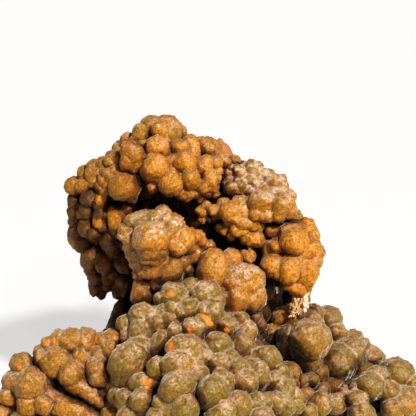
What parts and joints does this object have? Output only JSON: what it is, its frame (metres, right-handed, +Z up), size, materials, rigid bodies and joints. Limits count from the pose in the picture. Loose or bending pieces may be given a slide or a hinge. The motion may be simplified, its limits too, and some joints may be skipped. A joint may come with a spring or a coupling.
{
  "type": "mottramite mineral specimen",
  "caption": "Free-standing mottramite specimen: grape-like mineral lobes in a broad mound that carries a column and a curled, overhanging crest; stands on a flat cut base.",
  "frame": {"origin": "on the flat cut base, under the middle of the mound", "axes": "+Z up, square to the flat base; the best side faces -Y, with +X to its viewer's right"},
  "size_m": [0.0674, 0.0519, 0.0476],
  "materials": {
    "mottramite": "waxy ochre to olive botryoids with a pale frosted bloom at their edges"
  },
  "bodies": {
    "root": {"mottramite": "mottramite"}
  },
  "joints": []
}
